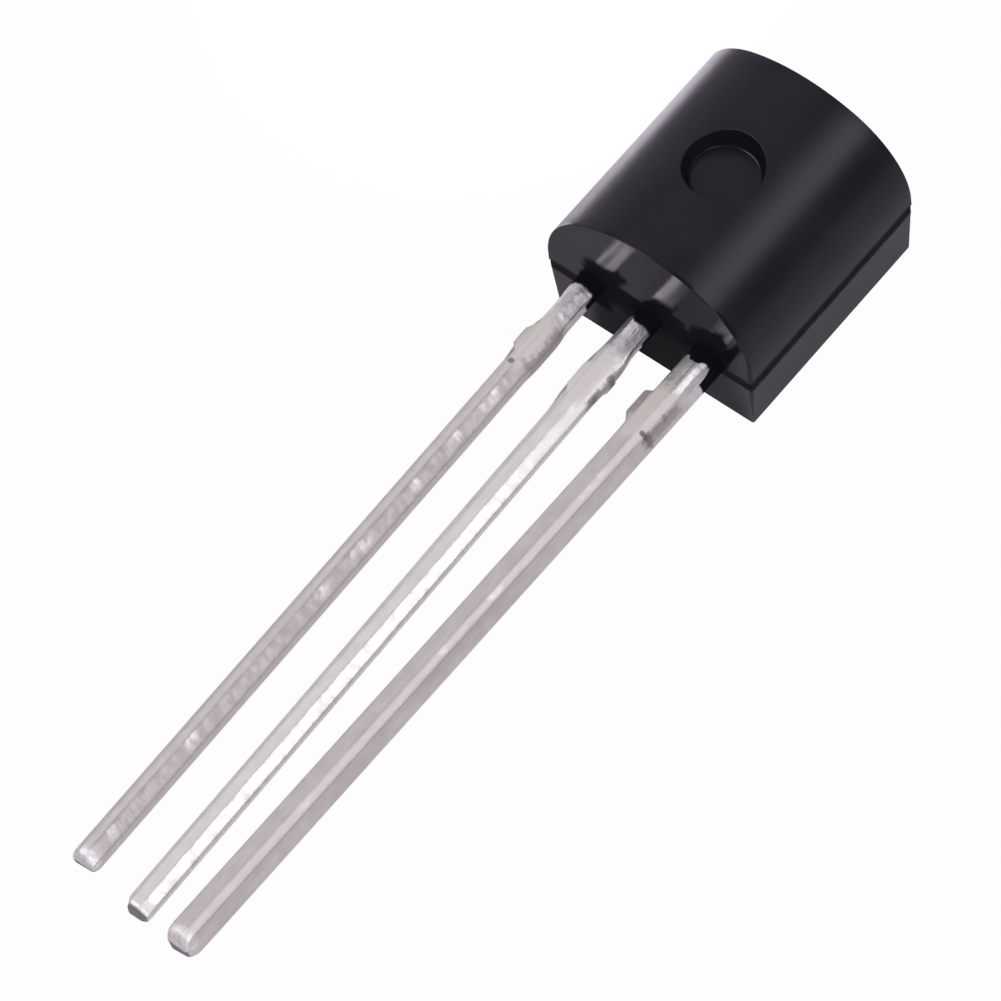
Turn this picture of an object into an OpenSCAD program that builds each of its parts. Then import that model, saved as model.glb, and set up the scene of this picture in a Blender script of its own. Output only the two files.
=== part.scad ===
// Small-signal transistor in a three-leaded moulded case, lying on its flat face.
// X runs across the case, +Y from the leads to the case's top, +Z from the flat face to the crown.
// The origin is at the centre of the flat face.

/* [Moulding] */
// Width of the case at the parting line
body_width = 4.42; // [4.38:0.02:4.54]
// Length of the case along the leads
body_length = 4.54; // [4.3:0.02:4.7]
// Height of the flat half, from the flat face to the parting line
flat_half_height = 1.28; // [1.2:0.02:1.36]
// Amount by which each side of the flat half leans in at the flat face
flat_side_lean = 0.07; // [0.02:0.01:0.15]
// Amount by which each end of the flat half leans in at the flat face
flat_end_lean = 0.04; // [0.02:0.01:0.1]
// Height of the straight side above the parting line, before the round begins
straight_side_height = 0.32; // [0.2:0.02:0.44]
// Radius of the two shoulders beside the crown
shoulder_radius = 1.8; // [1.76:0.01:1.84]
// Radius of the crown
crown_radius = 2.89; // [2.8:0.01:3]
// Rounding of the rim between the round half and its ends
rim_radius = 0.05; // [0.03:0.01:0.1]
// Rounding along the edges of the flat face
flat_edge_radius = 0.05; // [0.03:0.01:0.1]
// Rounding of the upright corners of the flat half
upright_corner_radius = 0.05; // [0.03:0.01:0.1]

/* [Parting line] */
// Height of the shallow band where the two halves of the mould met
parting_band_height = 0.2; // [0.14:0.01:0.26]
// Depth of that band, and of the clamped patch around the lead roots
parting_band_depth = 0.03; // [0.02:0.01:0.04]
// Width of the clamped patch on the lead end
clamped_patch_width = 3.5; // [3.2:0.1:3.8]

/* [Ejector pin mark] */
// Diameter of the mark at the crown
pin_mark_mouth_diameter = 1.46; // [1.38:0.02:1.56]
// Diameter of the floor of the mark
pin_mark_floor_diameter = 1.28; // [1.1:0.02:1.34]
// Depth of the mark below the crown
pin_mark_depth = 0.4; // [0.3:0.02:0.46]

/* [Leads] */
// Distance between neighbouring leads
lead_pitch = 1.27; // [1.26:0.01:1.28]
// Width of a tinned lead
lead_width = 0.49; // [0.46:0.01:0.52]
// Thickness of a tinned lead
lead_thickness = 0.42; // [0.4:0.01:0.44]
// Extra width of the base lead, which took more tin than the others
base_lead_extra_width = 0.04; // [0:0.01:0.06]
// Extra thickness of the base lead
base_lead_extra_thickness = 0.16; // [0:0.01:0.18]
// Distance by which the middle of the base lead hangs below the other two
base_lead_drop = 0.05; // [0:0.01:0.06]
// Twist of the emitter lead about its own length, in degrees
emitter_lead_twist = -8; // [-10:1:10]
// Twist of the base lead about its own length, in degrees
base_lead_twist = -15; // [-18:1:10]
// Length of the emitter lead outside the case
emitter_lead_length = 13.85; // [12.7:0.05:14.5]
// Length of the collector lead outside the case
collector_lead_length = 14.05; // [12.7:0.05:14.5]
// Length of the base lead outside the case
base_lead_length = 14.1; // [12.7:0.05:14.5]
// Sideways run of the emitter lead from root to tip
emitter_lead_drift = 0.22; // [-0.3:0.01:0.3]
// Sideways run of the collector lead from root to tip
collector_lead_drift = 0.27; // [-0.3:0.01:0.3]
// Sideways run of the base lead from root to tip
base_lead_drift = -0.1; // [-0.3:0.01:0.3]
// Width of the slopes along the two edges that the stamping die rolled in, on the crown side
rolled_edge_width = 0.15; // [0.08:0.01:0.18]
// Height of those slopes
rolled_edge_height = 0.12; // [0.08:0.01:0.15]
// Width and height of the slopes along the two edges on the flat side
burr_edge_width = 0.05; // [0.03:0.01:0.07]
// Rounding of the corners of the emitter lead's tip
emitter_tip_radius = 0.09; // [0.05:0.01:0.13]
// Rounding of the corners of the collector lead's tip, which is cut square
collector_tip_radius = 0.04; // [0.03:0.01:0.13]
// Rounding of the corners of the base lead's tip
base_tip_radius = 0.15; // [0.05:0.01:0.18]

/* [Tie bar stubs] */
// Distance from the case to the middle of the stubs left by the trimmed tie bar
stub_distance = 1.55; // [1.45:0.05:1.65]
// Length of a stub along its lead
stub_length = 1.25; // [1.1:0.05:1.4]
// Amount by which a stub stands out of the side of its lead
stub_reach = 0.08; // [0.04:0.01:0.12]
// Length of the sloping part at each end of a stub
stub_slope_length = 0.35; // [0.2:0.05:0.5]
// Distance from the case to the middle of the waist between the case and the stub
waist_distance = 0.7; // [0.6:0.05:0.75]
// Length of that waist along its lead
waist_length = 0.6; // [0.4:0.05:0.7]
// Depth of the waist on each side of its lead
waist_depth = 0.03; // [0.01:0.01:0.04]

/* [Lead frame inside the case] */
// Thickness of the bare strip
strip_thickness = 0.38; // [0.34:0.01:0.39]
// Width of the bare strip
strip_width = 0.42; // [0.38:0.01:0.42]
// Width of the paddle that carries the die
paddle_width = 1.7; // [1.5:0.05:1.9]
// Length of that paddle
paddle_length = 1.3; // [1.1:0.05:1.4]
// Distance from the middle of the case to the near edge of the paddle
paddle_start = 0.25; // [0.2:0.05:0.35]
// Width of a bond post
post_width = 0.9; // [0.75:0.05:0.95]
// Length of a bond post
post_length = 0.6; // [0.5:0.05:0.7]
// Distance by which a bond post is set in from the middle of its lead
post_offset = 0.1; // [0:0.02:0.14]
// Distance from a bond post to the paddle
post_gap = 0.35; // [0.3:0.05:0.4]

/* [Die and wires] */
// Side of the square silicon die
die_side = 0.5; // [0.45:0.05:0.6]
// Thickness of the die
die_thickness = 0.2; // [0.15:0.01:0.25]
// Thickness of the layer that holds the die
attach_thickness = 0.03; // [0.02:0.01:0.04]
// Margin of that layer around the die
attach_margin = 0.05; // [0.03:0.01:0.08]
// Diameter of a bond wire
wire_diameter = 0.05; // [0.04:0.01:0.06]
// Height of the loop of a wire above the straight line between its ends
wire_rise = 0.45; // [0.35:0.05:0.55]
// Diameter of the flattened ball that joins a wire to the die
ball_diameter = 0.1; // [0.08:0.01:0.12]
// Height of that ball
ball_height = 0.03; // [0.02:0.01:0.04]
// Distance of each ball from the middle of the die, both ways
ball_offset = 0.12; // [0.08:0.01:0.15]

/* [Hidden] */

$fn = 64;

// Overlap wherever one solid must run past or into another
margin = 0.1;
// Reach of a cutter or of a keeping block beyond everything that it acts on
reach = 2 * body_width;

// The crown arc and a shoulder arc meet with a common tangent, so the two centres and the meeting
// point lie on one line.
shoulder_x = body_width / 2 - shoulder_radius;
shoulder_z = flat_half_height + straight_side_height;
crown_z = shoulder_z - sqrt(pow(crown_radius - shoulder_radius, 2) - pow(shoulder_x, 2));
crown_half_angle = asin(shoulder_x / (crown_radius - shoulder_radius));
body_height = crown_z + crown_radius;

lead_end_y = -body_length / 2;
band_bottom = flat_half_height - parting_band_height / 2;
band_top = flat_half_height + parting_band_height / 2;

// The flat side of the tinned leads lies on the parting plane.
lead_middle_z = flat_half_height + lead_thickness / 2;
patch_top = flat_half_height + lead_thickness;
strip_top_z = lead_middle_z + strip_thickness / 2;
post_end_y = paddle_start - post_gap;
post_middle_y = post_end_y - post_length / 2;
die_y = paddle_start + paddle_length / 2;
die_bottom_z = strip_top_z + attach_thickness;
die_top_z = die_bottom_z + die_thickness;

// Rectangle centred on the origin, with its lower and its upper corners rounded apart.
module soft_rectangle(width, height, lower_radius, upper_radius) {
    translate([-width / 2, -height / 2 + lower_radius])
        square([width, height - lower_radius - upper_radius]);
    translate([-width / 2 + lower_radius, -height / 2])
        square([width - 2 * lower_radius, height / 2]);
    translate([-width / 2 + upper_radius, 0])
        square([width - 2 * upper_radius, height / 2]);
    for (side = [-1, 1]) {
        translate([side * (width / 2 - lower_radius), -height / 2 + lower_radius])
            circle(r = lower_radius);
        translate([side * (width / 2 - upper_radius), height / 2 - upper_radius])
            circle(r = upper_radius);
    }
}

// Section of a tinned lead, centred on the origin, with slopes along all four edges.
module lead_section(width, thickness) {
    side = width / 2;
    face = thickness / 2;
    polygon([
        [-side + burr_edge_width, -face], [side - burr_edge_width, -face],
        [side, -face + burr_edge_width], [side, face - rolled_edge_height],
        [side - rolled_edge_width, face], [-side + rolled_edge_width, face],
        [-side, face - rolled_edge_height], [-side, -face + burr_edge_width]]);
}

// Block with rounded upright edges, standing between two heights.
module soft_block(width, length, bottom, top, radius) {
    translate([0, 0, bottom])
        linear_extrude(top - bottom)
            soft_rectangle(width, length, radius, radius);
}

// Part of a drum that lies along Y with its rims rounded. Angles are counted from +Z towards +X.
module drum_sector(radius, from_angle, to_angle) {
    rotate([90, 0, 0])
        rotate_extrude(angle = to_angle - from_angle, start = 90 - to_angle)
            intersection() {
                soft_rectangle(2 * radius, body_length, rim_radius, rim_radius);
                translate([0, -body_length]) square([reach, 2 * body_length]);
            }
}

module round_half() {
    intersection() {
        union() {
            translate([0, 0, crown_z])
                drum_sector(crown_radius, -crown_half_angle, crown_half_angle);
            for (side = [0, 1])
                mirror([side, 0, 0])
                    translate([shoulder_x, 0, shoulder_z])
                        drum_sector(shoulder_radius, crown_half_angle, 90);
            soft_block(body_width, body_length, flat_half_height, shoulder_z, rim_radius);
        }
        translate([-reach, -reach, band_top]) cube(2 * reach);
    }
}

// Outline of the flat half seen along one axis. It leans in towards the flat face, where its two
// corners are rounded.
module flat_half_outline(width, lean) {
    foot = width / 2 - lean;
    // Slope of the side, and how far the rounding's centre sits in from the foot of that side
    slope = lean / flat_half_height;
    inset = flat_edge_radius * (sqrt(1 + slope * slope) - slope);
    tangent_x = foot - inset + flat_edge_radius / sqrt(1 + slope * slope);
    tangent_y = flat_edge_radius * (1 - slope / sqrt(1 + slope * slope));
    polygon([
        [-foot + inset, 0], [foot - inset, 0], [tangent_x, tangent_y],
        [width / 2, flat_half_height], [-width / 2, flat_half_height], [-tangent_x, tangent_y]]);
    for (side = [-1, 1])
        translate([side * (foot - inset), flat_edge_radius]) circle(r = flat_edge_radius);
}

module flat_half() {
    intersection() {
        rotate([90, 0, 0])
            linear_extrude(reach, center = true)
                flat_half_outline(body_width, flat_side_lean);
        rotate([90, 0, 90])
            linear_extrude(reach, center = true)
                flat_half_outline(body_length, flat_end_lean);
        soft_block(body_width, body_length, -margin, band_bottom, upright_corner_radius);
    }
}

module parting_band() {
    soft_block(body_width - 2 * parting_band_depth, body_length - 2 * parting_band_depth,
        band_bottom, band_top, upright_corner_radius);
}

module clamped_patch() {
    translate([-clamped_patch_width / 2, lead_end_y - margin, band_bottom])
        cube([clamped_patch_width, margin + parting_band_depth, patch_top - band_bottom]);
}

module pin_mark() {
    slope = (pin_mark_mouth_diameter - pin_mark_floor_diameter) / 2 / pin_mark_depth;
    translate([0, 0, body_height - pin_mark_depth])
        cylinder(h = pin_mark_depth + margin,
            r1 = pin_mark_floor_diameter / 2,
            r2 = pin_mark_mouth_diameter / 2 + slope * margin);
}

module moulded_body() {
    color([0.13, 0.13, 0.135])
        difference() {
            union() {
                flat_half();
                parting_band();
                round_half();
            }
            clamped_patch();
            pin_mark();
            emitter_lead();
            collector_lead();
            base_lead();
            silicon_die();
            die_attach();
            emitter_bond_wire();
            base_bond_wire();
        }
}

// Stub of the trimmed tie bar, on one side of a lead that runs along -Y: -1 is left and 1 right.
module tie_bar_stub(side, lead_half_width, thickness) {
    near_y = -stub_distance + stub_length / 2;
    far_y = -stub_distance - stub_length / 2;
    inner_x = side * (lead_half_width - 2 * margin);
    outer_x = side * (lead_half_width + stub_reach);
    translate([0, 0, -thickness / 2])
        linear_extrude(thickness)
            polygon([
                [inner_x, near_y], [outer_x, near_y - stub_slope_length],
                [outer_x, far_y + stub_slope_length], [inner_x, far_y]]);
}

// Shallow hollow arc cut into both sides of a lead between the case and the stub.
module waist_cut(lead_half_width, thickness) {
    arc_radius = (pow(waist_length / 2, 2) + pow(waist_depth, 2)) / (2 * waist_depth);
    for (side = [-1, 1])
        translate([side * (lead_half_width + arc_radius - waist_depth), -waist_distance, 0])
            cylinder(h = 2 * thickness, r = arc_radius, center = true);
}

// Lead outside the case: it runs along -Y from the origin, and reaches a little into the case.
// stub_sides lists the sides on which the stub of the tie bar stands out.
module outer_lead(width, thickness, length, tip_radius, stub_sides) {
    difference() {
        union() {
            intersection() {
                translate([0, margin, 0])
                    rotate([90, 0, 0])
                        linear_extrude(length + margin)
                            lead_section(width, thickness);
                translate([0, 0, -thickness])
                    linear_extrude(2 * thickness)
                        soft_rectangle(width, 2 * length, tip_radius, tip_radius);
            }
            for (side = stub_sides)
                tie_bar_stub(side, width / 2, strip_thickness);
        }
        waist_cut(width / 2, thickness);
    }
}

// Moves a lead that is drawn along -Y at the origin to its root, turned by its drift and twist.
module at_root(x, drop, length, drift, twist) {
    translate([x, lead_end_y, lead_middle_z - drop])
        rotate([0, 0, asin(drift / length)])
            rotate([0, twist, 0])
                children();
}

// Flat piece of the bare strip between two corners.
module strip_piece(from_x, to_x, from_y, to_y) {
    translate([from_x, from_y, lead_middle_z - strip_thickness / 2])
        cube([to_x - from_x, to_y - from_y, strip_thickness]);
}

// Strip that runs straight into the case, from the end face to the given depth.
module inner_strip(x, to_y) {
    strip_piece(x - strip_width / 2, x + strip_width / 2, lead_end_y + margin / 2, to_y);
}

// Lead that ends in a bond post inside the case. side is -1 for the left lead and 1 for the right.
module inner_post_lead(side) {
    post_x = side * (lead_pitch - post_offset);
    inner_strip(side * lead_pitch, post_end_y - post_length / 2);
    strip_piece(post_x - post_width / 2, post_x + post_width / 2,
        post_end_y - post_length, post_end_y);
}

module emitter_lead() {
    color([0.78, 0.76, 0.77]) {
        at_root(-lead_pitch, 0, emitter_lead_length, emitter_lead_drift, emitter_lead_twist)
            outer_lead(lead_width, lead_thickness, emitter_lead_length, emitter_tip_radius, [-1]);
        inner_post_lead(-1);
    }
}

module collector_lead() {
    color([0.83, 0.81, 0.82]) {
        at_root(0, 0, collector_lead_length, collector_lead_drift, 0)
            outer_lead(lead_width, lead_thickness, collector_lead_length, collector_tip_radius,
                [-1, 1]);
        inner_strip(0, paddle_start + margin);
        strip_piece(-paddle_width / 2, paddle_width / 2,
            paddle_start, paddle_start + paddle_length);
    }
}

module base_lead() {
    color([0.78, 0.76, 0.77]) {
        at_root(lead_pitch, base_lead_drop, base_lead_length, base_lead_drift, base_lead_twist)
            outer_lead(lead_width + base_lead_extra_width,
                lead_thickness + base_lead_extra_thickness,
                base_lead_length, base_tip_radius, [-1]);
        inner_post_lead(1);
    }
}

module silicon_die() {
    color([0.3, 0.32, 0.36])
        translate([-die_side / 2, die_y - die_side / 2, die_bottom_z])
            cube([die_side, die_side, die_thickness]);
}

module die_attach() {
    layer_side = die_side + 2 * attach_margin;
    color([0.7, 0.7, 0.68])
        translate([-layer_side / 2, die_y - layer_side / 2, strip_top_z])
            cube([layer_side, layer_side, attach_thickness]);
}

// Wire that loops from a ball on the die to a bond post. side is -1 for the left post.
module bond_wire(side) {
    ball_x = side * ball_offset;
    ball_y = die_y - ball_offset;
    run_x = side * (lead_pitch - post_offset) - ball_x;
    run_y = post_middle_y - ball_y;
    run = norm([run_x, run_y]);
    drop = die_top_z - strip_top_z;
    chord = norm([run, drop]);
    arc_radius = (pow(chord / 2, 2) + pow(wire_rise, 2)) / (2 * wire_rise);
    // From the middle of the chord to the centre of the arc, square to the chord
    centre_x = run / 2 - drop / chord * (arc_radius - wire_rise);
    centre_y = -drop / 2 - run / chord * (arc_radius - wire_rise);
    translate([ball_x, ball_y, die_top_z]) {
        cylinder(h = ball_height, d = ball_diameter);
        rotate([90, 0, atan2(run_y, run_x)])
            intersection() {
                translate([centre_x, centre_y, 0])
                    rotate_extrude() translate([arc_radius, 0]) circle(d = wire_diameter);
                linear_extrude(1, center = true)
                    polygon([
                        [-margin, 0], [run / 2, 0], [run / 2, -drop], [run + margin, -drop],
                        [run + margin, reach], [-margin, reach]]);
            }
    }
}

module emitter_bond_wire() {
    color([0.85, 0.65, 0.3]) bond_wire(-1);
}

module base_bond_wire() {
    color([0.85, 0.65, 0.3]) bond_wire(1);
}

moulded_body();
emitter_lead();
collector_lead();
base_lead();
silicon_die();
die_attach();
emitter_bond_wire();
base_bond_wire();
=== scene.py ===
"""Looks of a small three-leaded transistor: a black moulded case and its tinned leads."""

import math

import bmesh
import bpy
from mathutils import Matrix, Vector


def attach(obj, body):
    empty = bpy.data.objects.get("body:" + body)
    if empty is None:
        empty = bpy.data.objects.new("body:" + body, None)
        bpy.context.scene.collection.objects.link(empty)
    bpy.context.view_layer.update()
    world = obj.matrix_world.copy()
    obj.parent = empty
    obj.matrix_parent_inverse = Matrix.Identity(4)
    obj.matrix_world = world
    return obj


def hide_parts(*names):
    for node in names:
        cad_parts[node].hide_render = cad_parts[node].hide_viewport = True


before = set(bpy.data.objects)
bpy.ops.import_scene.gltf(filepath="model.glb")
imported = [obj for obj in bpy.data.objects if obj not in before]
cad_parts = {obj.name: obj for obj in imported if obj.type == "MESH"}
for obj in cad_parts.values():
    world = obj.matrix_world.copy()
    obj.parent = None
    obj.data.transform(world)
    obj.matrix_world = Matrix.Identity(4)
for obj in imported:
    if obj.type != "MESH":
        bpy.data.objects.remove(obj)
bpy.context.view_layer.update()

MM = 0.001

# Case, in millimetres
CASE_WIDTH = 4.42
CASE_LENGTH = 4.54
FLAT_HALF_HEIGHT = 1.28
FLAT_SIDE_LEAN = 0.07
FLAT_END_LEAN = 0.04
ROUND_END_LEAN = 0.045
STRAIGHT_SIDE_HEIGHT = 0.32
SHOULDER_RADIUS = 1.8
CROWN_RADIUS = 2.89
RIM_RADIUS = 0.014
FLAT_EDGE_RADIUS = 0.05
UPRIGHT_CORNER_RADIUS = 0.05
BAND_HEIGHT = 0.2
BAND_OVERLAP = 0.1
BAND_DEPTH = 0.004
PIN_MOUTH_RADIUS = 0.73
PIN_MOUTH_ROUNDING = 0.012
PIN_FLOOR_RADIUS = 0.64
PIN_FLOOR_ROUNDING = 0.04
PIN_DEPTH = 0.4
CROWN_STEPS = 24
SHOULDER_STEPS = 22
WINDOW_STEPS = 20
WINDOW_SLACK = 0.01
RING_SHARES = (0.3, 0.55, 0.75, 0.9, 1.0)
END_STEPS = 5
CASE_SHARP_ANGLE = 35

# Leads, in millimetres
LEAD_PITCH = 1.27
LEAD_WIDTH = 0.49
LEAD_THICKNESS = 0.42
EMITTER_LENGTH = 13.85
COLLECTOR_LENGTH = 14.05
BASE_LENGTH = 14.1
STRIP_THICKNESS = 0.38
STRIP_WIDTH = 0.42
STRIP_INSET = 0.05
BURR_EDGE = 0.05
SECTION_ROUNDING = 0.02
ROOT_DEPTH = 0.1
ROOT_LIFT_PLACES = (-2, -1, 0.75, 1.3)
LEAD_STEPS = 200
LEAD_SHARP_ANGLE = 40
TIP_STEPS = 6
TIP_FOOT_SHARE = 0.5
TIP_SIDE_SHARE = 0.3
STUB_HEIGHT = 0.3
STUB_ROOT = 0.26
STUB_ROUNDING = 0.04

# Points closer than this, in millimetres, are in the same place.
SAME_PLACE = 0.0001

half_case_length = CASE_LENGTH / 2
shoulder_x = CASE_WIDTH / 2 - SHOULDER_RADIUS
shoulder_z = FLAT_HALF_HEIGHT + STRAIGHT_SIDE_HEIGHT
crown_z = shoulder_z - math.sqrt((CROWN_RADIUS - SHOULDER_RADIUS) ** 2 - shoulder_x ** 2)
crown_half_angle = math.asin(shoulder_x / (CROWN_RADIUS - SHOULDER_RADIUS))
case_height = crown_z + CROWN_RADIUS
band_bottom = FLAT_HALF_HEIGHT - BAND_HEIGHT / 2
band_top = FLAT_HALF_HEIGHT + BAND_HEIGHT / 2
lead_middle_z = FLAT_HALF_HEIGHT + LEAD_THICKNESS / 2


# ---------------------------------------------------------------- shader helpers

def add_node(tree, kind, sockets=(), settings=(), output=0):
    """Adds a node with its settings, and then the values or links of its sockets."""
    node = tree.nodes.new("ShaderNode" + kind)
    for name, setting in dict(settings).items():
        setattr(node, name, setting)
    for name, value in dict(sockets).items():
        feed(tree, node.inputs[name], value)
    return Value(tree, node.outputs[output])


def feed(tree, slot, value):
    """Puts a number, a colour or a link into a socket."""
    if isinstance(value, Value):
        tree.links.new(value.socket, slot)
    else:
        slot.default_value = value


class Value:
    """A socket that Python's operators work on: each one adds a Math node."""

    def __init__(self, tree, socket):
        self.tree = tree
        self.socket = socket

    def math(self, operation, *operands):
        """A Math node on the operands, in their order."""
        return add_node(self.tree, "Math", enumerate(operands), {"operation": operation})

    def __add__(self, other):
        return self.math("ADD", self, other)

    def __radd__(self, other):
        return self.math("ADD", other, self)

    def __sub__(self, other):
        return self.math("SUBTRACT", self, other)

    def __rsub__(self, other):
        return self.math("SUBTRACT", other, self)

    def __mul__(self, other):
        return self.math("MULTIPLY", self, other)

    def __rmul__(self, other):
        return self.math("MULTIPLY", other, self)

    def __truediv__(self, other):
        return self.math("DIVIDE", self, other)

    def __pow__(self, other):
        return self.math("POWER", self, other)

    def __neg__(self):
        return self.math("MULTIPLY", self, -1.0)

    def __abs__(self):
        return self.math("ABSOLUTE", self)

    def low(self, other):
        return self.math("MINIMUM", self, other)

    def high(self, other):
        return self.math("MAXIMUM", self, other)

    def step(self, start, end):
        """0 up to start, 1 from end on, with a smooth passage between them."""
        return add_node(self.tree, "MapRange", {"Value": self, "From Min": start, "From Max": end},
                        {"interpolation_type": "SMOOTHSTEP"}, "Result")


class Shader:
    """A material's node tree, around the surface that it starts with."""

    def __init__(self, name):
        self.material = bpy.data.materials.new(name)
        self.material.use_nodes = True
        self.tree = self.material.node_tree
        self.surface = self.tree.nodes["Principled BSDF"]

    def node(self, kind, sockets=(), settings=(), output=0):
        return add_node(self.tree, kind, sockets, settings, output)

    def place(self):
        """The object's own coordinates, in metres."""
        return self.node("TexCoord", output="Object")

    def in_millimetres(self, place):
        """The three parts of a place, each in millimetres."""
        parts = self.node("SeparateXYZ", {0: place}).socket.node.outputs
        return [Value(self.tree, part) / MM for part in parts]

    def noise(self, place, scale, detail, roughness=0.5, stretch=None):
        """Noise with features about 1 / scale metres wide."""
        if stretch is not None:
            place = self.node("Mapping", {"Vector": place, "Scale": stretch})
        return self.node("TexNoise", {"Vector": place, "Scale": scale, "Detail": detail,
                                      "Roughness": roughness}, output="Fac")

    def mix(self, factor, first, second):
        """A blend of two colours."""
        return self.node("Mix", {0: factor, 6: first, 7: second}, {"data_type": "RGBA"}, 2)

    def bump(self, height, distance, strength):
        return self.node("Bump", {"Height": height, "Distance": distance, "Strength": strength})

    def lay_over(self, share, other):
        """Shows another surface where share is 1."""
        first = Value(self.tree, self.surface.outputs[0])
        blend = self.node("MixShader", {0: share, 1: first, 2: other})
        feed(self.tree, self.tree.nodes["Material Output"].inputs[0], blend)

    def dull_where(self, share, colour, roughness, specular, relief):
        """Shows a duller finish of the same relief where share is 1."""
        self.lay_over(share, self.node("BsdfPrincipled", {
            "Base Color": colour, "Roughness": roughness, "Specular IOR Level": specular,
            "Normal": relief}))

    def finish(self, **sockets):
        """Sets the first surface's sockets, and gives the material."""
        for name, value in sockets.items():
            feed(self.tree, self.surface.inputs[name.replace("_", " ")], value)
        return self.material


def near(value, middle, half_width, blur):
    """1 within a distance of a middle value, falling to 0 over the blur beyond it."""
    return abs(value - middle).step(half_width + blur, half_width)


def spot(across, along, half_width, half_length, start, end):
    """An oval around the place where across and along are 0, from 0 outside to 1 inside."""
    return ((across / half_width) ** 2 + (along / half_length) ** 2).step(start, end)


# ---------------------------------------------------------------- moulding compound

DARK_EPOXY = (0.0066, 0.0060, 0.0096, 1)
LIGHT_EPOXY = (0.0098, 0.0090, 0.0132, 1)
# Dull finish, for rough resin and for painted shade
DULL_AND_SHADED_EPOXY = (0.0060, 0.0055, 0.0080, 1)
# Painted light on the lower right side of the flat half
SKIRT_LIGHT_PAINT = (0.036, 0.034, 0.042, 1)
EPOXY_SHEEN = (0.93, 0.89, 1.0, 1)

# Painted shade above the leads, standing in for their mirrored dark sides and shadows: place
# across, half width and top.
LEAD_SHADE_PATCHES = (
    (-0.93, 0.36, 2.26),
    (0.52, 0.3, 2.12),
    (1.30, 0.30, 2.25),
)


def moulding_compound():
    """Black epoxy: fine satin grain, polished ends, a rough dull zone at the parting line, and
    painted shade there, in the pin mark and around the leads.
    """
    shader = Shader("moulding_compound")
    place = shader.place()
    x, y, z = shader.in_millimetres(place)
    grain = shader.noise(place, 30000, 3, 0.6)
    cloud = shader.noise(place, 900, 3, 0.55)
    ragged = shader.noise(place, 4500, 3, 0.6) - 0.5
    blot = shader.noise(place, 1900, 2, 0.5) - 0.5
    end_face = (-y).step(half_case_length - 0.12, half_case_length - 0.08)

    # Dull parts of the lead end: the clamped strip, and painted shade for mirrored shadows: a patch
    # above each lead, a darker middle and bottom, and a shadow under the emitter lead
    clamped = (near(x + 0.5 * blot, 0.15, 1.45, 0.24)
               * near(z + 0.45 * blot + 0.12 * ragged, 1.62, 0.25, 0.2))
    lead_shade = 0
    for shade_x, half_width, top in LEAD_SHADE_PATCHES:
        leaning_x = x - 0.4 * (z - 2) + 0.4 * blot
        upper_edge = (z + 0.5 * blot + 0.15 * ragged).step(top + 0.14, top - 0.1)
        lead_shade = lead_shade + (near(leaning_x, shade_x, half_width - 0.04, 0.2)
                             * upper_edge * z.step(1.5, 1.6))
    end_shade = (0.4 * x.step(-1.1, 1.2) * x.step(2.1, 1.6)
             + 0.75 * near(x + 0.6 * blot, -0.2, 0.9, 0.5) * z.step(1.35, 1.2))
    shaded = near(x + 0.3 * blot, -1.05, 0.14, 0.26) * near(z + 0.3 * blot, 1.15, 0.2, 0.35)
    dull_and_shaded_end = clamped.high(lead_shade.low(1.0)).high(end_shade.low(0.85)).high(shaded)

    # Other dull parts: the parting line, rough and partly painted shade of its shallow recess;
    # painted shade on the pin mark's wall and on the left of its foot; and one upright corner
    seam = 0.9 * near(z + 0.08 * ragged + 0.05 * blot, FLAT_HALF_HEIGHT, 0.07, 0.13)
    from_pin = (x ** 2 + y ** 2) ** 0.5
    pin_wall = near(from_pin, (PIN_FLOOR_RADIUS + PIN_MOUTH_RADIUS) / 2, 0.035, 0.01)
    pin_wall = pin_wall * y.step(-0.5, -0.15)
    pin_foot = 0.75 * near(from_pin, PIN_FLOOR_RADIUS - 0.015, 0.03, 0.02) * x.step(0.05, -0.15)
    pin_mark = pin_wall.high(pin_foot) * z.step(2.6, 2.9)
    corner = x.step(2.12, 2.16) * (-y).step(half_case_length - 0.09, half_case_length - 0.05)
    dull_and_shaded_zone = seam.high(end_face * dull_and_shaded_end).high(pin_mark).high(0.4 * corner)

    colour = shader.mix(cloud.step(0.35, 0.7), DARK_EPOXY, LIGHT_EPOXY)
    # Painted light: the lower right side of the flat half paler
    lit_skirt = x.step(1.9, 2.15) * z.step(1.25, 1.1)
    colour = shader.mix(lit_skirt, colour, SKIRT_LIGHT_PAINT)
    roughness = 0.31 - 0.18 * end_face + 0.06 * (cloud - 0.5) + 0.05 * (grain - 0.5)
    relief = shader.bump(grain, 0.0000014, 0.6)
    # A dull, dark finish: partly rough resin, partly painted shade
    shader.dull_where(dull_and_shaded_zone, DULL_AND_SHADED_EPOXY, 0.85, 0.1, relief)
    return shader.finish(Base_Color=colour, Roughness=roughness, Normal=relief,
                         Specular_IOR_Level=0.42, Specular_Tint=EPOXY_SHEEN)


# ---------------------------------------------------------------- tin

# Darker and lighter colour of each mottled or rippled part
COLLECTOR_TIN = ((0.84, 0.805, 0.785, 1), (0.93, 0.90, 0.875, 1))
EMITTER_TIN = ((0.71, 0.66, 0.645, 1), (0.81, 0.76, 0.74, 1))
BASE_TIN = ((0.67, 0.615, 0.595, 1), (0.76, 0.71, 0.68, 1))
RIPPLED_TIN = ((0.52, 0.47, 0.465, 1), (0.69, 0.64, 0.63, 1))
THICK_TIN_AND_GLINTS = ((0.76, 0.73, 0.73, 1), (0.95, 0.93, 0.92, 1))
FROSTY_TIN = ((0.80, 0.77, 0.78, 1), (0.99, 0.97, 0.97, 1))
NOSE_HIGHLIGHT = ((0.80, 0.78, 0.78, 1), (0.99, 0.97, 0.97, 1))

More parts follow.
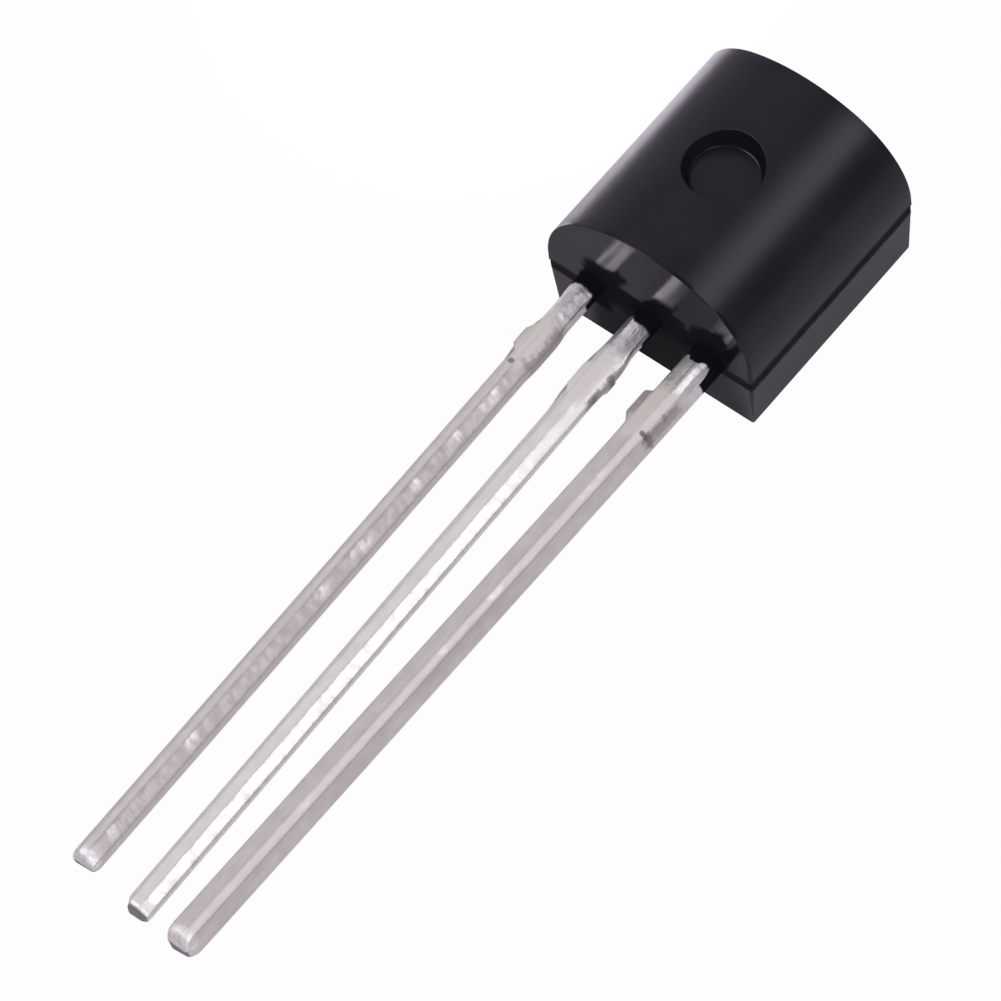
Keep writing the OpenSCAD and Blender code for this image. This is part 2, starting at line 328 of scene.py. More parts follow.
RIPPLED_RIGHT_LIT = (0.74, 0.69, 0.68, 1)
RIDGE_HIGHLIGHT = (0.86, 0.81, 0.78, 1)
RIDGE_FOOT_SHADE = (0.56, 0.51, 0.49, 1)
FOLD_SHADE = (0.50, 0.45, 0.46, 1)
GROOVE_SHADE = (0.42, 0.37, 0.37, 1)
WORN_TIN = (0.79, 0.75, 0.70, 1)
SHEARED_BROWN = (0.33, 0.28, 0.27, 1)
STUB_GREY = (0.52, 0.47, 0.46, 1)
FRINGE_BROWN = (0.36, 0.31, 0.29, 1)
CUT_END = (0.24, 0.21, 0.23, 1)
FLUX = (0.16, 0.14, 0.12, 1)
RESIN = (0.0055, 0.005, 0.0072, 1)

# Sideways run of each lead, in millimetres for each millimetre along it
EMITTER_RUN = 0.016
COLLECTOR_RUN = 0.019
BASE_RUN = -0.007

# Lumps of tin on the rolled edges, lighter in colour as a painted glint: place along the lead and
# half length.
LUMP_ACROSS = 0.11
LUMP_HALF_WIDTH = 0.1
EMITTER_LUMPS = (
    (2.9, 0.38), (3.85, 0.2), (5.05, 0.15), (6.5, 0.24), (7.6, 0.2), (11.05, 0.18), (13.2, 0.2))
BASE_LUMPS = ((3.35, 0.4), (5.9, 0.2), (7.2, 0.2), (10.85, 0.22))

# Specks of flux: X, place along the lead, half width, half length and strength.
SPECKS = (
    (-1.30, 2.14, 0.07, 0.05, 0.75),
    (-1.14, 2.0, 0.05, 0.05, 0.3),
    (1.44, 1.98, 0.06, 0.055, 0.85),
    (1.52, 1.93, 0.05, 0.07, 0.6),
    (1.50, 1.48, 0.03, 0.05, 0.4),
    (0.27, 1.4, 0.05, 0.09, 0.7),
    (0.26, 1.85, 0.03, 0.16, 0.6),
)


def tinned_surface():
    """Hot-dipped tin: smooth on top, rippled on the rolled edge, worn and brown by the stubs."""
    shader = Shader("tinned_lead")
    place = shader.place()
    x, y, z = shader.in_millimetres(place)
    along = -y - half_case_length
    emitter = x.step(-0.6, -0.7)
    base = x.step(0.6, 0.7)
    collector = 1.0 - emitter - base
    across = (x + LEAD_PITCH * (emitter - base)
              - along * (EMITTER_RUN * emitter + COLLECTOR_RUN * collector + BASE_RUN * base))
    mottle = shader.noise(place, 5200, 4, 0.6, stretch=(1.0, 0.5, 1.0))
    ripple = shader.noise(place, 5600, 3, 0.5, stretch=(0.65, 1.0, 0.65))
    wave = shader.noise(place, 1500, 2, 0.5, stretch=(1.0, 0.35, 1.0))
    fine = shader.noise(place, 12000, 3, 0.6, stretch=(1.0, 1.6, 1.0))
    ragged = shader.noise(place, 7000, 3, 0.6) - 0.5
    flank = z.step(1.54, 1.5)

    # Each lead's own tone
    patches = mottle.step(0.3, 0.75)
    colour = shader.mix(patches, *COLLECTOR_TIN)
    colour = shader.mix(emitter, colour, shader.mix(patches, *EMITTER_TIN))
    colour = shader.mix(base, colour, shader.mix(patches, *BASE_TIN))

    # Rolled edge: ripples and lumps on the emitter's, with painted light on its right part; thick
    # bright tin on the collector's; and a ridge with lumps on the base's, with painted highlight
    # and shade
    uneven_across = across + 0.04 * emitter + 0.09 * (mottle - 0.5) + 0.08 * (wave - 0.5)
    rolled = uneven_across.step(0.02, 0.07) * (z - 0.08 * base).step(1.50, 1.55)
    rippled = shader.mix(ripple.step(0.36, 0.64), *RIPPLED_TIN)
    # Painted light: the right part of the rippled edge lighter
    rippled = shader.mix(0.4 * across.step(0.03, 0.2), rippled, RIPPLED_RIGHT_LIT)
    rippled = shader.mix(0.35 * near(across, 0.03, 0.01, 0.04), rippled, FOLD_SHADE)
    colour = shader.mix(rolled * emitter, colour, rippled)
    ridge_across = across + 0.04 * (mottle - 0.5)
    # Painted highlight along the base lead's ridge, and painted shade at its foot
    ridge = base * ridge_across.step(0.078, 0.09) * z.step(1.58, 1.63)
    colour = shader.mix(0.32 * ridge, colour, RIDGE_HIGHLIGHT)
    colour = shader.mix(0.3 * base * near(ridge_across, 0.06, 0.008, 0.025), colour, RIDGE_FOOT_SHADE)
    lumps_and_glints = 0
    for side, rows in ((emitter, EMITTER_LUMPS), (base, BASE_LUMPS)):
        for lump_along, half_length in rows:
            lumps_and_glints = lumps_and_glints + side * spot(across - LUMP_ACROSS, along - lump_along + 0.25 * ragged,
                                        LUMP_HALF_WIDTH, half_length, 1.4, 0.2)
    lumps_and_glints = lumps_and_glints * (0.35 + 0.65 * ripple.step(0.35, 0.6)) * (0.7 - 0.3 * base)
    thick = rolled * collector * (along + 1.5 * wave).step(2.6, 6.0)
    # Thick tin on the collector's rolled edge, and a painted glint on the lumps
    colour = shader.mix(thick.high(lumps_and_glints), colour, shader.mix(ripple.step(0.3, 0.6), *THICK_TIN_AND_GLINTS))
    roughness = 0.4 + 0.12 * (wave - 0.5) + 0.06 * emitter + 0.06 * base
    roughness = roughness - 0.07 * thick - 0.14 * lumps_and_glints

    # Painted shade in the groove under the base lead's ridge, a darker line along the emitter
    # lead's left rim, and painted shade on the right sides of both, blotchy on the base lead's
    groove = near(z, 1.655, 0.012, 0.02) * across.step(0.14, 0.18) * base
    rim = near(across, -0.205, 0.015, 0.02) * emitter * z.step(1.6, 1.64)
    colour = shader.mix((0.4 * groove).high(0.4 * rim), colour, GROOVE_SHADE)
    streaked_side_shade = across.step(0.17, 0.21) * base * wave.step(0.55, 0.35)
    right_side_shade = 0.35 * emitter * across.step(0.19, 0.22)
    colour = shader.mix((0.3 * streaked_side_shade).high(right_side_shade), colour, FOLD_SHADE)

    # Frosty tin by the case
    frost = (along + 0.3 * ragged).step(1.15, 0.85)
    speckle = (0.5 * fine + 0.5 * mottle).step(0.4, 0.6)
    colour = shader.mix((0.85 - 0.4 * flank) * frost, colour, shader.mix(speckle, *FROSTY_TIN))
    roughness = roughness - 0.04 * frost

    # Worn flat between the stubs
    worn = near(along + 0.35 * ragged, 1.62, 0.5, 0.12) * z.step(1.63, 1.67)
    colour = shader.mix(0.8 * worn, colour, WORN_TIN)
    roughness = roughness + worn * (0.58 - roughness)

    # Brown edges where the tie bar was sheared off
    sheared = near(along + 0.3 * ragged, 1.6, 0.42, 0.12) * near(z + 0.15 * ragged, 1.5, 0.09, 0.05)
    colour = shader.mix(0.7 * sheared, colour, SHEARED_BROWN)
    roughness = roughness + sheared * (0.6 - roughness)

    # Greyer ends of the tie bar, lower than the worn flat, with a brown fringe
    stub = abs(across).step(0.235, 0.27) * near(along, 1.65, 0.75, 0.1)
    not_base = 1.0 - base
    grey_share = (0.2 * base).high(0.6 * not_base * z.step(1.66, 1.6))
    colour = shader.mix(stub * grey_share, colour, STUB_GREY)
    fringe = stub * near(z, 1.63, 0.015, 0.02) * (0.5 + ragged).step(0.35, 0.55)
    colour = shader.mix(0.7 * fringe * not_base, colour, FRINGE_BROWN)

    # Painted highlight on the tops of the rounded tips, which are rougher, and a darker cut end
    past_tip = along - EMITTER_LENGTH * emitter - COLLECTOR_LENGTH * collector - BASE_LENGTH * base
    nose = (past_tip + 0.15 * ragged).step(-0.32, -0.14)
    colour = shader.mix(nose * z.step(1.40, 1.5) * (0.85 - 0.5 * collector), colour,
                        shader.mix(fine.step(0.4, 0.6), *NOSE_HIGHLIGHT))
    cut = past_tip.step(-0.05, -0.01) * collector.high((z - 0.035 * base).step(1.45, 1.40))
    colour = shader.mix(0.9 * cut, colour, CUT_END)
    roughness = roughness + nose * (0.56 - roughness)

    # Dark specks of flux
    specks = 0
    for speck_x, speck_along, half_width, half_length, strength in SPECKS:
        specks = specks + strength * spot(x - speck_x + 0.08 * ragged,
                                          along - speck_along + 0.08 * ragged,
                                          half_width, half_length, 1.6, 0.4)
    colour = shader.mix(specks.low(0.85), colour, FLUX)

    # Resin that crept out along the top of each root
    prong = (across.step(-0.08, -0.18) * (1.0 - emitter)).high(across.step(0.08, 0.18) * base)
    resin = (along + 0.15 * ragged + 0.1 * prong * z.step(1.5, 1.6) - 0.2 * flank
             + 0.05 * emitter - 0.06 * base).step(0.33, 0.27)

    height = (mottle * (0.5 + 1.5 * frost) + wave * 0.8
              + ripple * (0.4 + rolled * (1.3 * emitter + 0.8 * base + 0.6 * collector)))
    metallic = 0.35 + (0.3 * thick.high(lumps_and_glints)).high(0.58 * frost).high(0.3 * nose)
    metallic = metallic * (1.0 - 0.86 * flank)
    relief = shader.bump(height, 0.000014, 0.7)
    shader.dull_where(resin, RESIN, 0.9, 0.06, relief)
    return shader.finish(Base_Color=colour, Metallic=metallic, Roughness=roughness,
                         Specular_IOR_Level=0.3, Normal=relief)


# ---------------------------------------------------------------- inner finishes

def inner_finish(name, colour, roughness, metallic=1.0):
    """A sealed inner piece: even colour with a faint grain."""
    shader = Shader(name)
    grain = shader.noise(shader.place(), 20000, 2)
    return shader.finish(Base_Color=colour, Metallic=metallic,
                         Roughness=roughness + 0.1 * (grain - 0.5))


# ---------------------------------------------------------------- mesh helpers

def add_object(name, data):
    item = bpy.data.objects.new(name, data)
    bpy.context.scene.collection.objects.link(item)
    return item


def add_piece(name, shape, material, sharp_angle):
    """Makes an object at the origin from a bmesh drawn in millimetres, smooth except where it
    turns by more than an angle in degrees."""
    mesh = bpy.data.meshes.new(name)
    bmesh.ops.scale(shape, vec=(MM, MM, MM), verts=shape.verts)
    bmesh.ops.recalc_face_normals(shape, faces=shape.faces)
    shape.to_mesh(mesh)
    shape.free()
    mesh.materials.append(material)
    piece = add_object(name, mesh)
    for face in mesh.polygons:
        face.use_smooth = True
    mesh.set_sharp_from_angle(angle=math.radians(sharp_angle))
    weighted = piece.modifiers.new("even_shading", "WEIGHTED_NORMAL")
    weighted.keep_sharp = True
    return piece


def joined(target, other):
    """Adds one bmesh's shapes to another."""
    scratch = bpy.data.meshes.new("scratch")
    other.to_mesh(scratch)
    other.free()
    target.from_mesh(scratch)
    bpy.data.meshes.remove(scratch)


def add_block(shape, size, middle):
    """Adds a plain block of a size around its middle."""
    points = bmesh.ops.create_cube(shape, size=1)["verts"]
    bmesh.ops.scale(shape, vec=size, verts=points)
    bmesh.ops.translate(shape, vec=middle, verts=points)


def rounded(shape, geometry, radius, segments, kind="EDGES"):
    """Rounds edges, or cuts corners, by a distance in millimetres."""
    bmesh.ops.bevel(shape, geom=geometry, offset=radius, offset_type="OFFSET", segments=segments,
                    profile=0.5, affect=kind, material=-1)


def made_of(kind, geometry):
    """The points or edges in an operator's result."""
    return [item for item in geometry if isinstance(item, kind)]


# ---------------------------------------------------------------- case

def section_height(x):
    """Height of the round half's surface above the flat face, at a place across the case."""
    across = abs(x)
    if across <= math.sin(crown_half_angle) * CROWN_RADIUS:
        return crown_z + math.sqrt(CROWN_RADIUS ** 2 - across ** 2)
    return shoulder_z + math.sqrt(max(SHOULDER_RADIUS ** 2 - (across - shoulder_x) ** 2, 0))


def round_section():
    """Closed outline of the round half in the XZ plane, at Y = 0."""
    shape = bmesh.new()
    foot = shape.verts.new((CASE_WIDTH / 2, 0, band_top))
    end = bmesh.ops.extrude_vert_indiv(shape, verts=[foot])["verts"][0]
    end.co.z = shoulder_z
    for centre_x, centre_z, angle, steps in (
            (shoulder_x, shoulder_z, math.pi / 2 - crown_half_angle, SHOULDER_STEPS),
            (0, crown_z, crown_half_angle, CROWN_STEPS // 2)):
        turned = bmesh.ops.spin(shape, geom=[end], cent=(centre_x, 0, centre_z), axis=(0, -1, 0),
                                angle=angle, steps=steps, use_duplicate=False)
        end = turned["geom_last"][0]
    bmesh.ops.mirror(shape, geom=shape.verts[:] + shape.edges[:], axis="X", merge_dist=SAME_PLACE)
    bmesh.ops.remove_doubles(shape, verts=shape.verts, dist=SAME_PLACE)
    shape.edges.new([v for v in shape.verts if abs(v.co.z - band_top) < SAME_PLACE])
    return shape


def sweep_stations():
    """Half the side of the window for the pin mark, and the places along the case where the
    round half's skin has a row of points."""
    window_half = CROWN_RADIUS * math.sin(crown_half_angle * WINDOW_STEPS / CROWN_STEPS)
    rows = [window_half * (2 * step / WINDOW_STEPS - 1) for step in range(WINDOW_STEPS + 1)]
    ends = [half_case_length - step * (half_case_length - window_half) / END_STEPS
            for step in range(END_STEPS)]
    return window_half, [-y for y in ends] + rows + ends[::-1]


def next_ring(shape, ring):
    """Extrudes a closed ring of edges onto itself, and gives the new ring's edges and points."""
    made = bmesh.ops.extrude_edge_only(shape, edges=ring)["geom"]
    points = made_of(bmesh.types.BMVert, made)
    inner = set(points)
    edges = [edge for edge in made_of(bmesh.types.BMEdge, made)
             if edge.verts[0] in inner and edge.verts[1] in inner]
    return edges, points


def put_at_radius(points, radius, height=None):
    """Moves points straight in or out from the Z axis. With no height they stay on the skin."""
    for point in points:
        scale = radius(point) / math.hypot(point.co.x, point.co.y)
        point.co.x *= scale
        point.co.y *= scale
        point.co.z = section_height(point.co.x) if height is None else height


def sink_pin_mark(shape, border, window_half):
    """Joins the square window in the crown to the round mark, and makes its wall and floor."""
    ring = border
    for share in RING_SHARES:
        ring, points = next_ring(shape, ring)
        put_at_radius(points, lambda p: (1 - share) * window_half * math.hypot(p.co.x, p.co.y)
                      / max(abs(p.co.x), abs(p.co.y)) + share * PIN_MOUTH_RADIUS)
    mouth = ring
    foot, points = next_ring(shape, ring)
    put_at_radius(points, lambda p: PIN_FLOOR_RADIUS, case_height - PIN_DEPTH)
    bmesh.ops.contextual_create(shape, geom=foot)
    bmesh.ops.recalc_face_normals(shape, faces=shape.faces)
    rounded(shape, mouth, PIN_MOUTH_ROUNDING, 2)
    rounded(shape, foot, PIN_FLOOR_ROUNDING, 3)


def round_half():
    """Round half of the case, with leaning ends, soft rims and the ejector pin's mark."""
    shape = round_section()
    window_half, stations = sweep_stations()
    bmesh.ops.translate(shape, verts=shape.verts, vec=(0, stations[0], 0))
    row = shape.edges[:]
    caps = [row]
    for start, end in zip(stations, stations[1:]):
        made = bmesh.ops.extrude_edge_only(shape, edges=row)["geom"]
        bmesh.ops.translate(shape, vec=(0, end - start, 0), verts=made_of(bmesh.types.BMVert, made))
        row = [edge for edge in made_of(bmesh.types.BMEdge, made)
               if all(abs(v.co.y - end) < SAME_PLACE for v in edge.verts)]
    caps.append(row)

    # The skin over the pin's mark is cut out and joined to the mark's mouth.
    reach = window_half + WINDOW_SLACK
    window = [f for f in shape.faces
              if all(abs(v.co.x) < reach and abs(v.co.y) < reach for v in f.verts)]
    bmesh.ops.delete(shape, geom=window, context="FACES")
    border = [e for e in shape.edges if e.is_boundary
              and all(abs(v.co.y) < reach for v in e.verts)]
    sink_pin_mark(shape, border, window_half)

    # Ends: closed, leaned in towards the crown, and rounded along their rims.
    rims = []
    for cap in caps:
        face = bmesh.ops.contextual_create(shape, geom=cap)["faces"][0]
        side = math.copysign(1, face.calc_center_median().y)
        for vert in face.verts:
            vert.co.y -= side * ROUND_END_LEAN * (vert.co.z - band_top) / (case_height - band_top)
        rims += [e for e in face.edges
                 if not all(abs(v.co.z - band_top) < SAME_PLACE for v in e.verts)]
    bmesh.ops.recalc_face_normals(shape, faces=shape.faces)
    rounded(shape, rims, RIM_RADIUS, 5)
    return shape


def round_upright_edges(shape):
    """Rounds the upright edges of a block that is taller than the band."""
    upright = [e for e in shape.edges if abs(e.verts[0].co.z - e.verts[1].co.z) > BAND_HEIGHT]
    rounded(shape, upright, UPRIGHT_CORNER_RADIUS, 4)


def flat_half():
    """Flat half of the case: it leans in on all four sides towards the flat face."""
    shape = bmesh.new()
    add_block(shape, (CASE_WIDTH, CASE_LENGTH, band_bottom), (0, 0, band_bottom / 2))
    for vert in shape.verts:
        share = 1 - vert.co.z / FLAT_HALF_HEIGHT
        vert.co.x -= math.copysign(FLAT_SIDE_LEAN * share, vert.co.x)
        vert.co.y -= math.copysign(FLAT_END_LEAN * share, vert.co.y)
    round_upright_edges(shape)
    foot = [e for e in shape.edges if all(abs(v.co.z) < SAME_PLACE for v in e.verts)]
    rounded(shape, foot, FLAT_EDGE_RADIUS, 3)
    return shape


def parting_band():
    """Set-back band between the halves, which it runs into a little."""
    shape = bmesh.new()
    add_block(shape, (CASE_WIDTH - 2 * BAND_DEPTH, CASE_LENGTH - 2 * BAND_DEPTH,
                      BAND_HEIGHT + BAND_OVERLAP), (0, 0, FLAT_HALF_HEIGHT))
    round_upright_edges(shape)
    return shape


def moulded_case(material):
    shape = round_half()
    joined(shape, flat_half())
    joined(shape, parting_band())
    return add_piece("moulded_case", shape, material, CASE_SHARP_ANGLE)


# ---------------------------------------------------------------- leads

def lead_section(width, thickness, left_edge, rolled_edge, right_drop, lower_edge):
    """One face with eased corners: the section of a lead, in the XZ plane, centred. left_edge
    and rolled_edge are the cuts at the upper left and upper right corners, and lower_edge is the
    one at the lower right. The upper right one is cut down by right_drop."""
    shape = bmesh.new()
    bmesh.ops.create_grid(shape, x_segments=1, y_segments=1, size=0.5)
    bmesh.ops.scale(shape, vec=(width, thickness, 1), verts=shape.verts)
    for right, high, cut in ((False, True, left_edge), (True, True, rolled_edge),
                             (False, False, BURR_EDGE), (True, False, lower_edge)):
        corners = [v for v in shape.verts if (v.co.y > 0) == high and (v.co.x > 0) == right
                   and abs(abs(v.co.x) - width / 2) < SAME_PLACE
                   and abs(abs(v.co.y) - thickness / 2) < SAME_PLACE]
        rounded(shape, corners, cut, 1, "VERTICES")
    for vert in shape.verts:
        if vert.co.x > width / 2 - SAME_PLACE and vert.co.y > 0:
            vert.co.y = thickness / 2 - right_drop
    rounded(shape, shape.verts[:], SECTION_ROUNDING, 3, "VERTICES")
    bmesh.ops.rotate(shape, verts=shape.verts, matrix=Matrix.Rotation(math.pi / 2, 3, "X"))
    return shape


def swell(along, rise_start, rise_end, fall_start, fall_end):
    """1 between two places along a lead, with smooth slopes to 0 on both sides."""
    rise = min(max((along - rise_start) / (rise_end - rise_start), 0), 1)
    fall = min(max((fall_end - along) / (fall_end - fall_start), 0), 1)
    share = min(rise, fall)
    return share * share * (3 - 2 * share)


def outer_lead(length, section, tip_radius, root_lift, swells):
    """Lead outside the case, along -Y from the origin, with a section from lead_section. Beside
    the case its upper right edge is lifted towards the top by the share root_lift. Each row of
    swells has a side, four places along the lead, and how far that side stands out there, or in
    where it is negative."""
    half_width = section["width"] / 2
    half_thickness = section["thickness"] / 2
    shape = lead_section(**section)
    bmesh.ops.translate(shape, vec=(0, ROOT_DEPTH, 0), verts=shape.verts)
    face = shape.faces[:]
    run = length + ROOT_DEPTH - tip_radius
    turns = [math.sin(math.radians(90 * step / TIP_STEPS)) for step in range(TIP_STEPS + 1)]
    moves = [run / LEAD_STEPS] * LEAD_STEPS
    moves += [tip_radius * (b - a) for a, b in zip(turns, turns[1:])]
    for move in moves:
        made = bmesh.ops.extrude_face_region(shape, geom=face)["geom"]
        bmesh.ops.delete(shape, geom=face, context="FACES_ONLY")
        face = made_of(bmesh.types.BMFace, made)
        bmesh.ops.translate(shape, vec=(0, -move, 0), verts=face[0].verts[:])
    bmesh.ops.contextual_create(shape, geom=[e for e in shape.edges if e.is_boundary])

    for vert in shape.verts:
        along = -vert.co.y
        if vert.co.x > 0 and vert.co.z > 0:
            beside_case = swell(along, *ROOT_LIFT_PLACES)
            vert.co.z += root_lift * (half_thickness - vert.co.z) * beside_case
        past = min(max(along - length + tip_radius, 0) / tip_radius, 1)
        drop = tip_radius * (1 - math.sqrt(1 - past * past))
        vert.co.z *= 1 - drop * (1 if vert.co.z > 0 else TIP_FOOT_SHARE) / half_thickness
        vert.co.x *= 1 - TIP_SIDE_SHARE * drop / half_width
        share = vert.co.x / half_width
        vert.co.x += sum(share ** 3 * reach * swell(along, *places)
                         for side, *places, reach in swells if share * side > 0)
    return shape


def tie_bar_stub(half_width, side, start, end, start_slope, end_slope, reach, top):
    """Trimmed end of the tie bar, on one side of a lead that runs along -Y: where it starts and
    ends along the lead, how far its ends slope, and how far it stands out."""
    shape = bmesh.new()
    depth = reach + STUB_ROOT
    add_block(shape, (depth, end - start, STUB_HEIGHT),
              (side * (half_width + reach - depth / 2), -(start + end) / 2, top - STUB_HEIGHT / 2))
    for vert in shape.verts:
        if side * vert.co.x > half_width:
            at_start = -vert.co.y < (start + end) / 2
            vert.co.y -= start_slope if at_start else -end_slope
    rounded(shape, shape.edges[:], STUB_ROUNDING, 3)
    return shape


def lead(name, material, root, length, drift, twist, section, tip_radius, root_lift, swells,
         stubs, blocks):
    """A whole lead. root is the X and Z of its middle at the case, drift how far its tip runs
    to the right, and twist its turn about its length in degrees. Each row of blocks has the two
    sides and the two ends of a plain part inside the case."""
    shape = outer_lead(length, section, tip_radius, root_lift, swells)
    for stub in stubs:
        joined(shape, tie_bar_stub(section["width"] / 2, *stub))
    root_x, root_z = root
    place = (Matrix.Translation((root_x, -half_case_length, root_z))
             @ Matrix.Rotation(math.asin(drift / length), 4, "Z")
             @ Matrix.Rotation(math.radians(twist), 4, "Y"))
    bmesh.ops.transform(shape, matrix=place, verts=shape.verts)
    for x0, x1, y0, y1 in blocks:
        add_block(shape, (x1 - x0, y1 - y0, STRIP_THICKNESS),
                  ((x0 + x1) / 2, (y0 + y1) / 2, lead_middle_z))
    return add_piece(name, shape, material, LEAD_SHARP_ANGLE)


def leads(material):
    """The three leads. Rows of swells: side, start and end of the rise, start and end of the
    fall, reach. Rows of stubs: side, start, end, slope at the start, slope at the end, reach,
    top."""
    strip_start = -half_case_length + STRIP_INSET
    half_strip = STRIP_WIDTH / 2
    made = {}
    made["emitter_lead"] = lead(
        "emitter_leg", material, root=(-LEAD_PITCH - 0.014, lead_middle_z),
        length=EMITTER_LENGTH, drift=0.22, twist=-8,
        section={"width": LEAD_WIDTH + 0.01, "thickness": LEAD_THICKNESS, "left_edge": 0.17,
                 "rolled_edge": 0.17, "right_drop": 0.17, "lower_edge": BURR_EDGE},
        tip_radius=0.17, root_lift=0,
        swells=[(-1, 1.0, 1.45, 1.75, 2.15, 0.04),
                (1, 1.0, 1.4, 1.85, 2.25, 0.03),
                (-1, 0.3, 0.6, 1.0, 1.25, -0.03),
                (1, 0.3, 0.6, 1.0, 1.2, -0.015)],
        stubs=[(-1, 0.98, 2.08, 0.45, 0.3, 0.015, 0.19)],
        blocks=[(-LEAD_PITCH - half_strip, -LEAD_PITCH + half_strip, strip_start, -0.4),
                (-1.62, -0.72, -0.7, -0.1)])
    made["collector_lead"] = lead(
        "collector_leg", material, root=(-0.005, lead_middle_z),
        length=COLLECTOR_LENGTH, drift=0.27, twist=0,
        section={"width": LEAD_WIDTH + 0.01, "thickness": LEAD_THICKNESS, "left_edge": 0.12,
                 "rolled_edge": 0.2, "right_drop": 0.106, "lower_edge": 0.14},
        tip_radius=0.1, root_lift=0.7,
        swells=[(-1, 0.8, 1.4, 2.0, 2.5, 0.05),
                (-1, 0.3, 1.0, 4.0, 11.0, 0.022),
                (1, 0.8, 1.25, 1.4, 1.95, 0.03),
                (1, 0.2, 0.5, 0.75, 1.0, -0.025),
                (-1, 13.85, 14.05, 15, 16, -0.08)],
        stubs=[(-1, 1.0, 2.4, 0.4, 0.5, 0.05, 0.19),
               (1, 1.0, 1.95, 0.3, 0.4, 0.015, 0.11)],
        blocks=[(-half_strip, half_strip, strip_start, 0.35),
                (-0.85, 0.85, 0.25, 1.55)])
    made["base_lead"] = lead(
        "base_leg", material, root=(LEAD_PITCH + 0.02, lead_middle_z - 0.05),
        length=BASE_LENGTH, drift=-0.1, twist=-15,
        section={"width": LEAD_WIDTH + 0.02, "thickness": LEAD_THICKNESS + 0.16, "left_edge": 0.1,
                 "rolled_edge": 0.1, "right_drop": 0.1, "lower_edge": BURR_EDGE},
        tip_radius=0.27, root_lift=0,
        swells=[(-1, 1.1, 1.38, 1.5, 2.2, 0.03)],
        stubs=[(-1, 1.06, 2.24, 0.14, 0.52, 0.125, 0.24)],
        blocks=[(LEAD_PITCH - half_strip, LEAD_PITCH + half_strip, strip_start, -0.4),
                (0.72, 1.62, -0.7, -0.1)])
    return made


# ---------------------------------------------------------------- stage

CAMERA_SENSOR = 36
CAMERA_LENS = 269.06
CAMERA_PLACE = (47.77, -51.92, 109.56)
CAMERA_TOWARDS = (0.3761, -0.3583, 0.8545)
CAMERA_RIGHT = (0.7784, 0.6225, -0.0816)

FLOOR_SIZE = 0.6
FLOOR_COLOUR = (0.55, 0.525, 0.57, 1)
ROOM_COLOUR = (0.125, 0.12, 0.13, 1)
LAMP_COLOUR = (0.98, 0.95, 1.0)
WHITE = (1.0, 1.0, 1.0, 1.0)

# Square lamps that shine at the origin: direction from it, distance, size and watts.
LAMPS = (
    ("key", (0.50, 0.36, 0.78), 0.4, 0.2, 0.26),
    ("top_fill", (-0.376, 0.358, 0.8545), 0.5, 0.36, 0.14),
    ("main", (-0.376, -0.358, 0.8545), 0.5, 0.2, 0.7),
    ("main_left", (-0.6, -0.358, 0.715), 0.5, 0.2, 0.39),
    ("side_fill", (0.76, -0.38, 0.52), 0.4, 0.15, 0.625),
    ("left_fill", (-0.9, 0.36, 0.22), 0.4, 0.3, 0.12),
)


def add_camera():
    camera_data = bpy.data.cameras.new("camera")
    camera_data.sensor_width = CAMERA_SENSOR
    camera_data.lens = CAMERA_LENS
    camera_data.clip_start = 0.01
    camera_data.clip_end = 5
    camera = add_object("camera", camera_data)
    towards = Vector(CAMERA_TOWARDS).normalized()
    right = Vector(CAMERA_RIGHT)
    right = (right - right.dot(towards) * towards).normalized()
    turn = Matrix((right, towards.cross(right), towards)).transposed().to_4x4()
    camera.matrix_world = Matrix.Translation(Vector(CAMERA_PLACE) * MM) @ turn
    bpy.context.scene.camera = camera


def background_share(tree, seen_share, mirrored_share):
    """How much of the white background a ray meets: mirror images get a little of it."""
    camera_ray, glossy_ray, clear_ray = [
        add_node(tree, "LightPath", output="Is %s Ray" % kind)
        for kind in ("Camera", "Glossy", "Transmission")]
    return (seen_share * camera_ray).high(mirrored_share * glossy_ray).high(clear_ray)


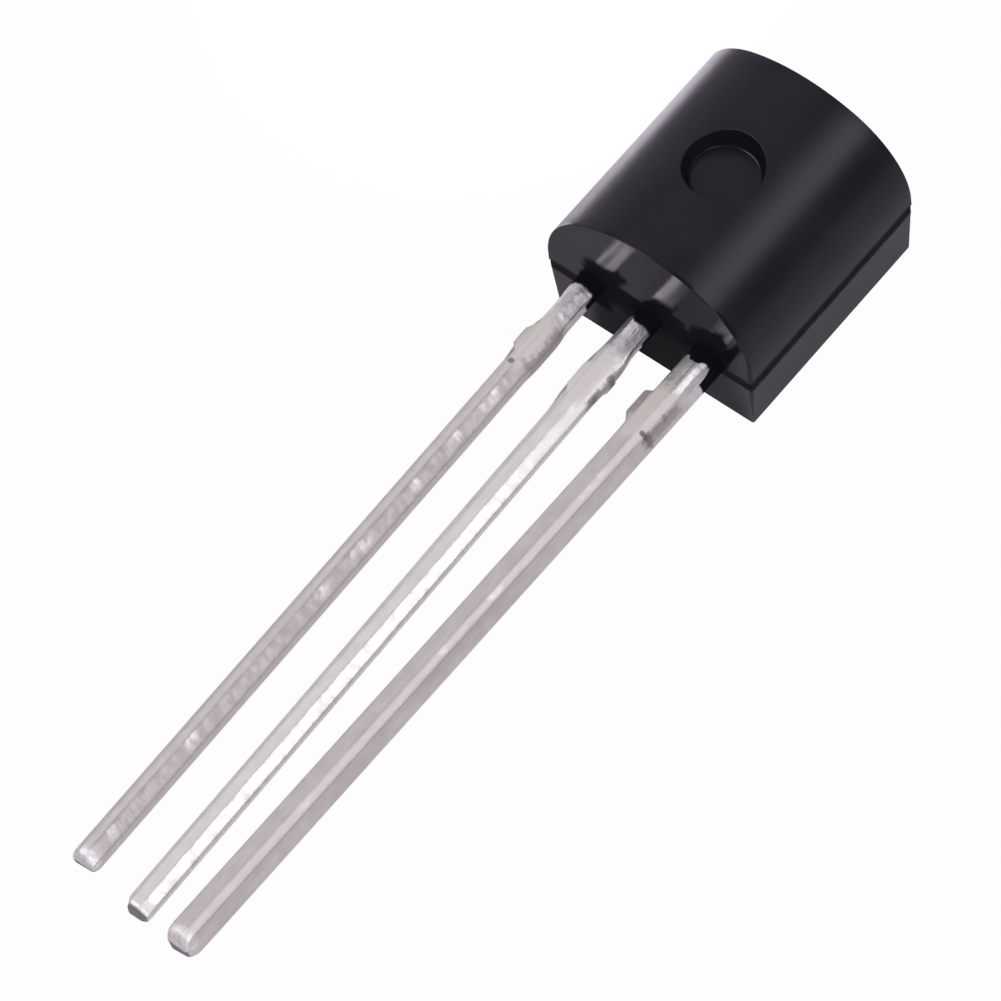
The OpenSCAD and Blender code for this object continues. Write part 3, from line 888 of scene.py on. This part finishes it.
def add_floor():
    mesh = bpy.data.meshes.new("floor")
    shape = bmesh.new()
    bmesh.ops.create_grid(shape, x_segments=1, y_segments=1, size=FLOOR_SIZE)
    shape.to_mesh(mesh)
    shape.free()
    shader = Shader("pale_floor")
    shader.lay_over(background_share(shader.tree, 0.97, 0.09), shader.node("Emission"))
    mesh.materials.append(shader.finish(Base_Color=FLOOR_COLOUR, Roughness=0.9))
    add_object("floor", mesh)


def add_world():
    """A plain grey room that the camera sees as white."""
    world = bpy.data.worlds.new("pale_room")
    world.use_nodes = True
    bpy.context.scene.world = world
    tree = world.node_tree
    room = tree.nodes["Background"]
    room.inputs["Color"].default_value = ROOM_COLOUR
    room.inputs["Strength"].default_value = 1.0
    white = add_node(tree, "Background", {"Color": WHITE})
    blend = add_node(tree, "MixShader", {0: background_share(tree, 1.0, 0.05),
                                         1: Value(tree, room.outputs[0]), 2: white})
    feed(tree, tree.nodes["World Output"].inputs[0], blend)


def add_lamp(name, towards, distance, size, strength, spread=180, aim=(0, 0, 0)):
    """Square lamp that shines at a place from a direction. Sizes are in metres."""
    lamp = bpy.data.lights.new(name, "AREA")
    lamp.shape = "SQUARE"
    lamp.size = size
    lamp.energy = strength
    lamp.color = LAMP_COLOUR
    lamp.spread = math.radians(spread)
    item = add_object(name, lamp)
    direction = Vector(towards).normalized()
    item.location = Vector(aim) + direction * distance
    item.rotation_euler = direction.to_track_quat("Z", "Y").to_euler()


# ---------------------------------------------------------------- making

case = moulded_case(moulding_compound())
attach(case, "root")
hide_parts("moulded_body")
for node_name, piece in leads(tinned_surface()).items():
    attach(piece, "root")
    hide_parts(node_name)

gold = inner_finish("gold_wire", (0.83, 0.62, 0.25, 1), roughness=0.2)
inner_finishes = {
    "silicon_die": inner_finish("silicon", (0.22, 0.23, 0.26, 1), roughness=0.15, metallic=0.6),
    "die_attach": inner_finish("silver_epoxy", (0.6, 0.6, 0.58, 1), roughness=0.5),
    "emitter_bond_wire": gold,
    "base_bond_wire": gold,
}
for node_name, finish in inner_finishes.items():
    for material_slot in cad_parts[node_name].material_slots:
        material_slot.material = finish

add_camera()
add_floor()
add_world()
for lamp_row in LAMPS:
    add_lamp(*lamp_row)
# A lit patch of floor at the case's left side, which mirrors it
add_lamp("floor_glow", (0, 0, 1), 0.015, 0.004, 0.0008, spread=44, aim=(-0.0078, 0.003, 0))
bpy.context.scene.view_settings.view_transform = "Standard"
